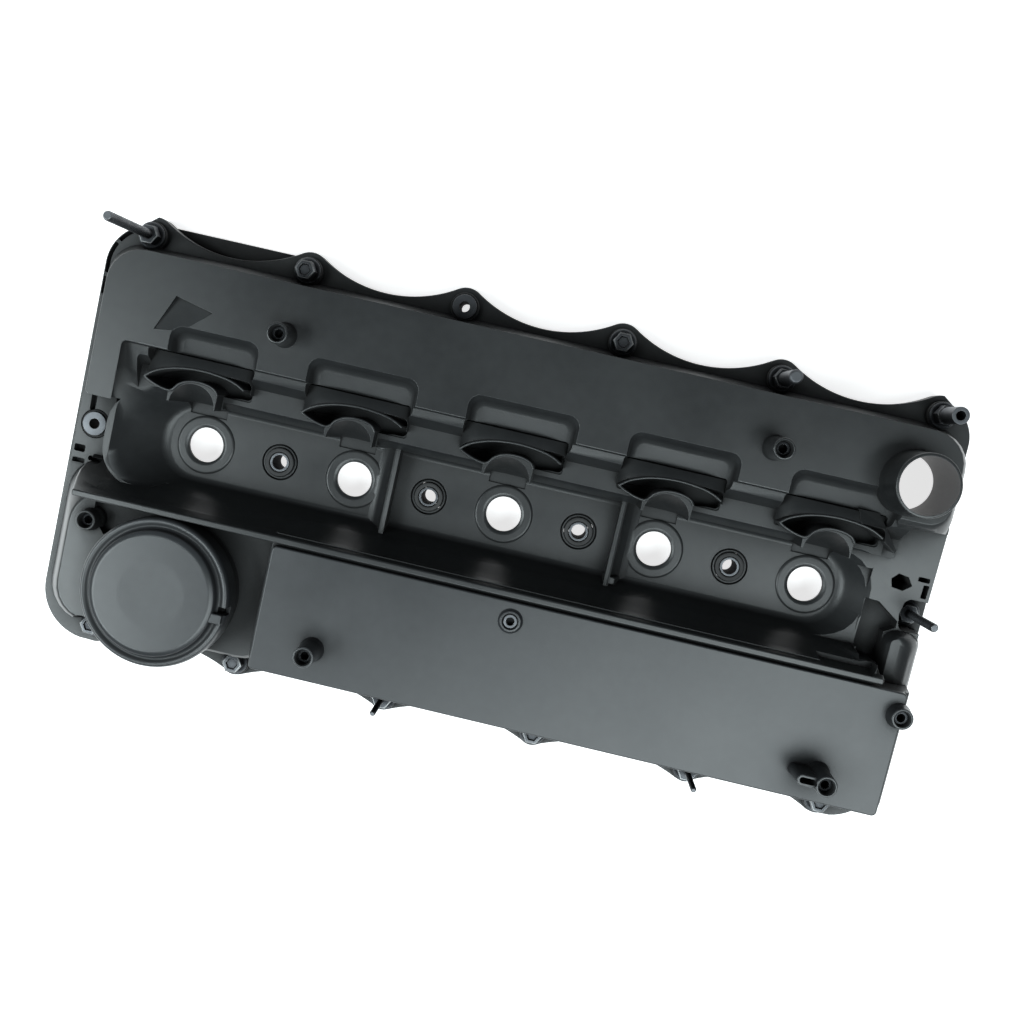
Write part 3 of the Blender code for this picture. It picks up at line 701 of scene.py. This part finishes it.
def rib(x, turn):
    """An upright rib across the valley's floor with one flat and one hollowed side."""
    section = [(1.5, 17), (1.5, 33), (-0.4, 33.4), (-1.6, 32.8), (-2.4, 29), (-4.4, 25), (-7.6, 21.8),
               (-12, 20.2), (-12, 17)]
    return loft([([(x - turn * px, y, z) for px, z in section], 0) for y in (-29, 27)])


def stands():
    """Tubes and rings on the valley's floor, the posts, the neck and the vent's housing."""
    steps = Steps()
    tubes = [drum((x, 0), INJECTOR_TUBE, FLANGE_FOOT, 18.5, 72) for x in INJECTORS]
    tubes += [drum((x, 0), SLEEVE_TUBE, FLANGE_FOOT, 19.5) for x in SLEEVES]
    steps.add(*tubes)
    # A raised ring round each injector hole, and a ring groove round each sleeve.
    ring = [(INJECTOR_HOLE, 18), (18.4, 18), (18.4, 20.1), (17.2, 21), (12.8, 21), (INJECTOR_HOLE, 20.2)]
    steps.add(*[lathe((x, 0), ring, 72, 0.6) for x in INJECTORS])
    groove = [(10.3, 17), (11.4, 17), (11.4, 23), (10.3, 23)]
    steps.cut(*[lathe((x, 0), groove, 64, 0) for x in SLEEVES])
    posts = []
    for number, (x, y, foot, top) in enumerate(POSTS):
        if number in LID_POSTS:
            continue
        ground = 38 if number == VENT_POST else 61
        profile = [(0, foot), (8, foot), (8, ground), (6.9, ground + 2.4), (6.2, top), (0, top)]
        posts.append(lathe((x, y), profile, 64, 0.9))
    neck = [(0, 50), (19.6, 50), (19.6, 62), (18.8, 64.5), (18.4, 70), (18.3, NECK_TOP), (0, NECK_TOP)]
    posts.append(lathe(NECK, neck, 96, 1.2))
    housing = [(0, 36), (44.5, 36), (43, 42), (42, 46), (42, 60), (0, 60)]
    posts.append(lathe(VENT, housing, 96, 1.0))
    # The recess between the left post and the vent's ring, under it a floor of its own.
    steps.add(block(-250, -216, -70, -44, 33, 37, 3))
    outline = [(-246, -47.5), (-246, -56), (-237.5, -66.5), (-226, -58), (-217, -49.5), (-218, -47.2)]
    steps.cut(plain(outline, 34.4, 60))
    steps.add(*posts)
    steps.cut(lathe(VENT, [(0, 43), (38, 43), (38, 72), (0, 72)], 96, 0.8))
    steps.add(lathe(VENT, [(0, 38), (9, 38), (9, 50), (0, 50)], 64, 0.6))
    return steps


def bores():
    """Recesses for the isolators above the flange, then every hole through the moulding."""
    steps = Steps()
    places = [(p, 30) for p in BACK] + [(p, 50) for p in FRONT]
    places += [(CORNER, 70), (LEFT_BOLT, 30), (RIGHT_BOLT, 40)]
    steps.cut(*[drum(p, BOLT_RECESS, FLANGE_TOP - 0.01, top) for p, top in places])
    seat = [(0, -1), (SEAL_BORE, -1), (SEAL_BORE, SEAL_SEAT), (INJECTOR_HOLE, SEAL_SEAT), (INJECTOR_HOLE, 30),
            (0, 30)]
    holes = [lathe((x, 0), seat, 72, 0) for x in INJECTORS]
    holes += [drum((x, 0), BOLT_RECESS, -1, 30) for x in SLEEVES]
    holes += [drum(p, BOLT_HOLE, -1, 30, 48) for p in BOLTS]
    for number, (x, y, _, top) in enumerate(POSTS):
        if number not in LID_POSTS:
            holes.append(post_hole(x, y, top - INSERT_DEPTH, top, 1.2))
    holes.append(drum(NECK, NECK_BORE, 44, NECK_TOP + 2, 96))
    holes.append(drum(VENT, VALVE_HOLE, 30, 52, 48))
    steps.cut(*holes)
    return steps


def post_hole(x, y, foot, top, mouth):
    """The hole for a post's insert, which widens at its mouth."""
    profile = [(0, foot), (4.3, foot), (4.3, top - mouth), (5.2, top + 0.2), (5.2, top + 2), (0, top + 2)]
    return lathe((x, y), profile, 48, 0)


def make_cover():
    base = loft([(flange_outline(inset), z) for inset, z in (
        (0, FLANGE_FOOT), (0, FLANGE_TOP - 1), (0.3, FLANGE_TOP - 0.3), (1, FLANGE_TOP))])
    shape = carved(base, shell_steps() + shell_details() + stands() + bores())
    place("cover_moulding", shape, NYLON, ["cover_shell"])


def make_lid():
    base = form([(-127.5, 254.5, -120.3, -44.2, 62.3), (-127, 254, -119.8, -44.5, LID_TOP)], 3, upper=0.9)
    posts, holes = [], []
    for number in LID_POSTS:
        x, y, _, top = POSTS[number]
        reach = min(3.5, (top - LID_TOP) * 0.5)
        profile = [(0, 63), (7.6, 63), (7.6, LID_TOP), (6.6, LID_TOP + reach), (6.2, top), (0, top)]
        posts.append(lathe((x, y), profile, 64, 0.7))
        holes.append(post_hole(x, y, max(top - INSERT_DEPTH, 63.5), top, 1))
    # A slotted web on the left of the tall post at the right.
    x, y, _, top = POSTS[WEB_POST]
    web = form([(x - 17.5, x, y - 3.6, y + 3.6, 64), (x - 16.5, x, y - 3.2, y + 3.2, top - 3)], 3.1, upper=0.6)
    steps = Steps()
    steps.add(*posts)
    steps.add(web)
    steps.cut(block(x - 15, x - 5.5, y - 1.8, y + 1.8, 70, 92, 1.7), *holes)
    place("lid_moulding", carved(base, steps), LID, ["separator_lid"])


def make_vent():
    """The vent's cap, its valve plate and the membrane, which it returns."""
    x, y = VENT
    cap = [(0, 71.6), (20, 71.9), (35, 71.8), (37.6, 70.6), (38.2, 67.2), (40, 66), (42, 67.6), (44, 67.6),
           (45.2, 65.5), (45.2, 52), (42.6, 52), (42.6, 62.1), (36, 62.1), (36, 69.2), (0, 69.2)]
    steps = Steps()
    steps.cut(block(x + 39.5, x + 47, y - 3.6, y + 1, 60, 74, 1))
    steps.add(form([(x + 36, x + 44, y - 9, y - 3, 62.5), (x + 36, x + 43.5, y - 9, y - 3, 70.4)],
                   1, upper=0.7))
    place("vent_cap_moulding", carved(lathe(VENT, cap, 128, 0.9), steps), LID, ["vent_cap"])
    profile = [(41.5, 61.8), (36, 61.8), (33, 57), (28, 56), (24, 57.5), (8, 57.5), (8, 56), (23.5, 56),
               (28, 54.4), (34.2, 55.6), (37, 60.3), (41.5, 60.3)]
    made = place("vent_membrane", lathe(VENT, profile, 96, 0.8), RUBBER, ["vent_diaphragm"], body=None)
    plate = [(0, 53.3), (18, 53.3), (18, 55.7), (7.6, 55.7), (7.6, 57.8), (14, 57.8), (14, 59.3), (0, 59.3)]
    place("vent_plate_turned", lathe(VENT, plate, 96, 0.4), NYLON, ["vent_valve_plate"], body="vent_valve")
    return made


def make_gasket():
    base = loft([(flange_outline(inset), z) for inset, z in ((1.9, 0), (1.5, 0.4), (1.5, 2.6), (1.9, 3))])
    steps = Steps()
    steps.add(block(-252, -152, 110, 128.5, 0, 3, 4, lower=0.4, upper=0.4))
    steps.cut(block(-253, 246, -120, 107, -1, 5, 15))
    steps.cut(block(214, 259.5, 52, 104, -1, 5, 10))
    steps.cut(*[drum(p, BOLT_HOLE, -1, 5, 48) for p in BOLTS])
    place("gasket_moulding", carved(base, steps), RUBBER, ["perimeter_gasket"])


def thread(radius, foot, top, pitch=1.0, depth=0.35):
    """Half profile of a threaded shank from its foot up."""
    points = []
    z = foot
    while z + pitch < top:
        points += [(radius - depth, z), (radius, z + pitch / 2)]
        z += pitch
    return points + [(radius - depth, top - 0.6), (radius - depth - 0.5, top)]


def make_bolt(node_name, centre, head_top, end=None, radius=3.0, bore=0.0):
    """A bolt with its washer. With an end above its head it is a stud: threaded, or plain and maybe hollow."""
    shank = [(0, 0.6), (3.3, 0.6), (3.4, 1.2), (3.4, 17.3), (8.3, 17.3), (8.3, 18.2), (7.6, 18.8), (0, 18.8)]
    shapes = [lathe(centre, shank, 48, 0.15)]
    shapes.append(hexagon(centre, HEAD_RADIUS, HEAD_FOOT, head_top, dish=0.0 if end else 1.0))
    if end:
        profile = [(0, head_top + 0.05), (radius, head_top + 0.05)]
        if bore:
            profile += [(radius, end), (bore, end), (bore, end - INSERT_DEPTH), (0, end - INSERT_DEPTH)]
            shapes.append(lathe(centre, profile, 40, 0.3))
        elif radius > 4:
            shapes.append(lathe(centre, profile + [(radius, end - 1), (radius - 1, end), (0, end)], 40, 0.3))
        else:
            shapes.append(lathe(centre, profile + thread(radius, head_top + 4, end) + [(0, end)], 32, 0))
    place(f"{node_name}_turned", joined(shapes), STEEL, [node_name])


def make_round(node_name, centre, profile, material, sides, radius):
    """A round part that takes its name from its node and from how it is made."""
    way = "turned" if material is STEEL else "moulded"
    place(f"{node_name}_{way}", lathe(centre, profile, sides, radius), material, [node_name])


def make_small_parts():
    places = [(f"back_isolator_{n}", p) for n, p in enumerate(BACK, 1)]
    places += [(f"front_isolator_{n}", p) for n, p in enumerate(FRONT, 1)]
    places += [("left_isolator", LEFT_BOLT), ("corner_isolator", CORNER), ("right_isolator", RIGHT_BOLT)]
    isolator = [(6.9, 3.6), (6.9, 13.3), (8.9, 13.3), (8.9, 17), (4.1, 17), (4.1, 3.6)]
    for name, p in places:
        make_round(name, p, isolator, RUBBER, 56, 0.6)
    sleeve = [(3.8, 0.5), (3.8, 17.3), (7.5, 17.3), (7.5, 18.8), (3.2, 18.8), (3.2, 0.5)]
    make_round("back_sleeve_3", BACK[2], sleeve, STEEL, 56, 0.3)
    make_round("left_sleeve", LEFT_BOLT, sleeve, STEEL, 56, 0.3)
    lip = [(16, 14.2), (16, 17.2), (13, 17.2), (12.4, 16.4), (12.4, 14.2)]
    for n, x in enumerate(INJECTORS, 1):
        make_round(f"injector_seal_{n}", (x, 0), lip, SEAL, 72, 0.3)
    ring = [(9, 1.5), (9, 22), (6.3, 22), (6.3, 1.5)]
    tube = [(6, 0.5), (6, 21.5), (4.5, 21.5), (4.5, 0.5)]
    for n, x in enumerate(SLEEVES, 1):
        make_round(f"centre_isolator_{n}", (x, 0), ring, RUBBER, 64, 0.9)
        make_round(f"centre_sleeve_{n}", (x, 0), tube, STEEL, 64, 0.3)
    make_bolt("back_stud_1", BACK[0], 25, 84)
    make_bolt("back_bolt_2", BACK[1], 26)
    make_bolt("back_bolt_4", BACK[3], 25)
    make_bolt("back_stud_5", BACK[4], 27, 58, 4.2)
    make_bolt("back_stud_6", BACK[5], 27, 48, 5.2, 2.8)
    for n, p in enumerate(FRONT, 1):
        if n in (2, 4):
            make_bolt(f"front_stud_{n}", p, 25, 58, 1.8)
        else:
            make_bolt(f"front_bolt_{n}", p, 25)
    make_bolt("corner_bolt", CORNER, 25)
    make_bolt("right_stud", RIGHT_BOLT, 25, 70, 2.6)
    for n, (x, y, _, top) in enumerate(POSTS, 1):
        low = max(top - 11.6, 63.9) if n - 1 in LID_POSTS else top - 11.6
        high = min(low + 7, top - 0.6)
        make_round(f"post_insert_{n}", (x, y), [(4, low), (4, high), (2.5, high), (2.5, low)], STEEL, 40, 0.2)


def make_spring():
    wire, coil, turns, steps, sides = 0.7, 14, 3, 40, 10
    low, high = 44, 52.3
    shape = bmesh.new()
    rings = []
    for i in range(turns * steps + 1):
        angle = 2 * math.pi * i / steps
        z = low + (high - low) * i / (turns * steps)
        ring = []
        for k in range(sides):
            turn = 2 * math.pi * k / sides
            r = coil + wire * math.cos(turn)
            x, y = VENT[0] + r * math.cos(angle), VENT[1] + r * math.sin(angle)
            ring.append(shape.verts.new((x, y, z + wire * math.sin(turn))))
        rings.append(ring)
    for one, two in zip(rings, rings[1:]):
        for k in range(sides):
            m = (k + 1) % sides
            shape.faces.new((one[k], one[m], two[m], two[k]))
    shape.faces.new(rings[0])
    shape.faces.new(reversed(rings[-1]))
    bmesh.ops.recalc_face_normals(shape, faces=shape.faces)
    return place("vent_spring_wound", shape, SPRING, ["vent_spring"], body=None)


def blends(membrane, spring):
    """The membrane's and the spring's placement, baked into their meshes."""
    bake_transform(membrane)
    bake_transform(spring)


# ---------------------------------------------------------------- stage, light, camera

FLOOR_GLOW = 0.75
LIGHT_COLOUR = (0.88, 0.98, 1.0)


def make_stage():
    floor = bmesh.new()
    bmesh.ops.create_grid(floor, x_segments=2, y_segments=2, size=6)
    for vertex in floor.verts:
        vertex.co.z = cad_box[0][2] - 0.0005
    mesh = bpy.data.meshes.new("floor")
    floor.to_mesh(mesh)
    floor.free()
    made = bpy.data.objects.new("floor", mesh)
    bpy.context.scene.collection.objects.link(made)
    material = bpy.data.materials.new("pale_floor")
    material.use_nodes = True
    tree = material.node_tree
    shader = tree.nodes["Principled BSDF"]
    shader.inputs["Roughness"].default_value = 0.9
    shader.inputs["Specular IOR Level"].default_value = 0.1
    shader.inputs["Emission Strength"].default_value = FLOOR_GLOW
    shader.inputs["Emission Color"].default_value = (1, 1, 1, 1)
    where = node(tree, "ShaderNodeTexCoord").outputs["Object"]
    tree.links.new(ramp(tree, noise(tree, where, 3), 0.3, 0.7, 0.78, 0.8), shader.inputs["Base Color"])
    mesh.materials.append(material)


def area_light(name, at, aim, size, power):
    data = bpy.data.lights.new(name, "AREA")
    data.shape = "RECTANGLE"
    data.size, data.size_y = size
    data.energy = power
    data.color = LIGHT_COLOUR
    made = bpy.data.objects.new(name, data)
    made.location = at
    made.rotation_euler = (Vector(aim) - Vector(at)).to_track_quat("-Z", "Y").to_euler()
    bpy.context.scene.collection.objects.link(made)


def make_lights():
    area_light("front_softbox", (0.55, -0.85, 1.9), (0.1, -0.1, 0.03), (1.9, 1.1), 44)
    area_light("left_softbox", (-1.1, -0.44, 1.25), (-0.84, -0.36, 0.03), (1.0, 0.85), 24)
    world = bpy.data.worlds.new("studio")
    bpy.context.scene.world = world
    world.use_nodes = True
    back = world.node_tree.nodes["Background"]
    back.inputs["Color"].default_value = (0.9, 0.92, 0.95, 1)
    back.inputs["Strength"].default_value = 0.1


def make_camera():
    data = bpy.data.cameras.new("camera")
    data.sensor_width = 36
    data.lens = 37.67
    data.clip_start = 0.01
    made = bpy.data.objects.new("camera", data)
    # The camera's own axes, in the frame of the object.
    right = Vector((0.97374, 0.22312, -0.04524))
    up = Vector((-0.22632, 0.97024, -0.08606))
    back = right.cross(up)
    turn = Matrix((right, up, back)).transposed().to_4x4()
    made.matrix_world = Matrix.Translation((0.02643, 0.07034, 0.68567)) @ turn
    bpy.context.scene.collection.objects.link(made)
    bpy.context.scene.camera = made


bpy.context.scene.view_settings.view_transform = "Standard"
make_camera()
make_stage()
make_lights()
make_cover()
make_lid()
membrane = make_vent()
spring = make_spring()
make_gasket()
make_small_parts()
blends(membrane, spring)
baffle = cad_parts["separator_baffle"]
baffle.data.materials.clear()
baffle.data.materials.append(NYLON)
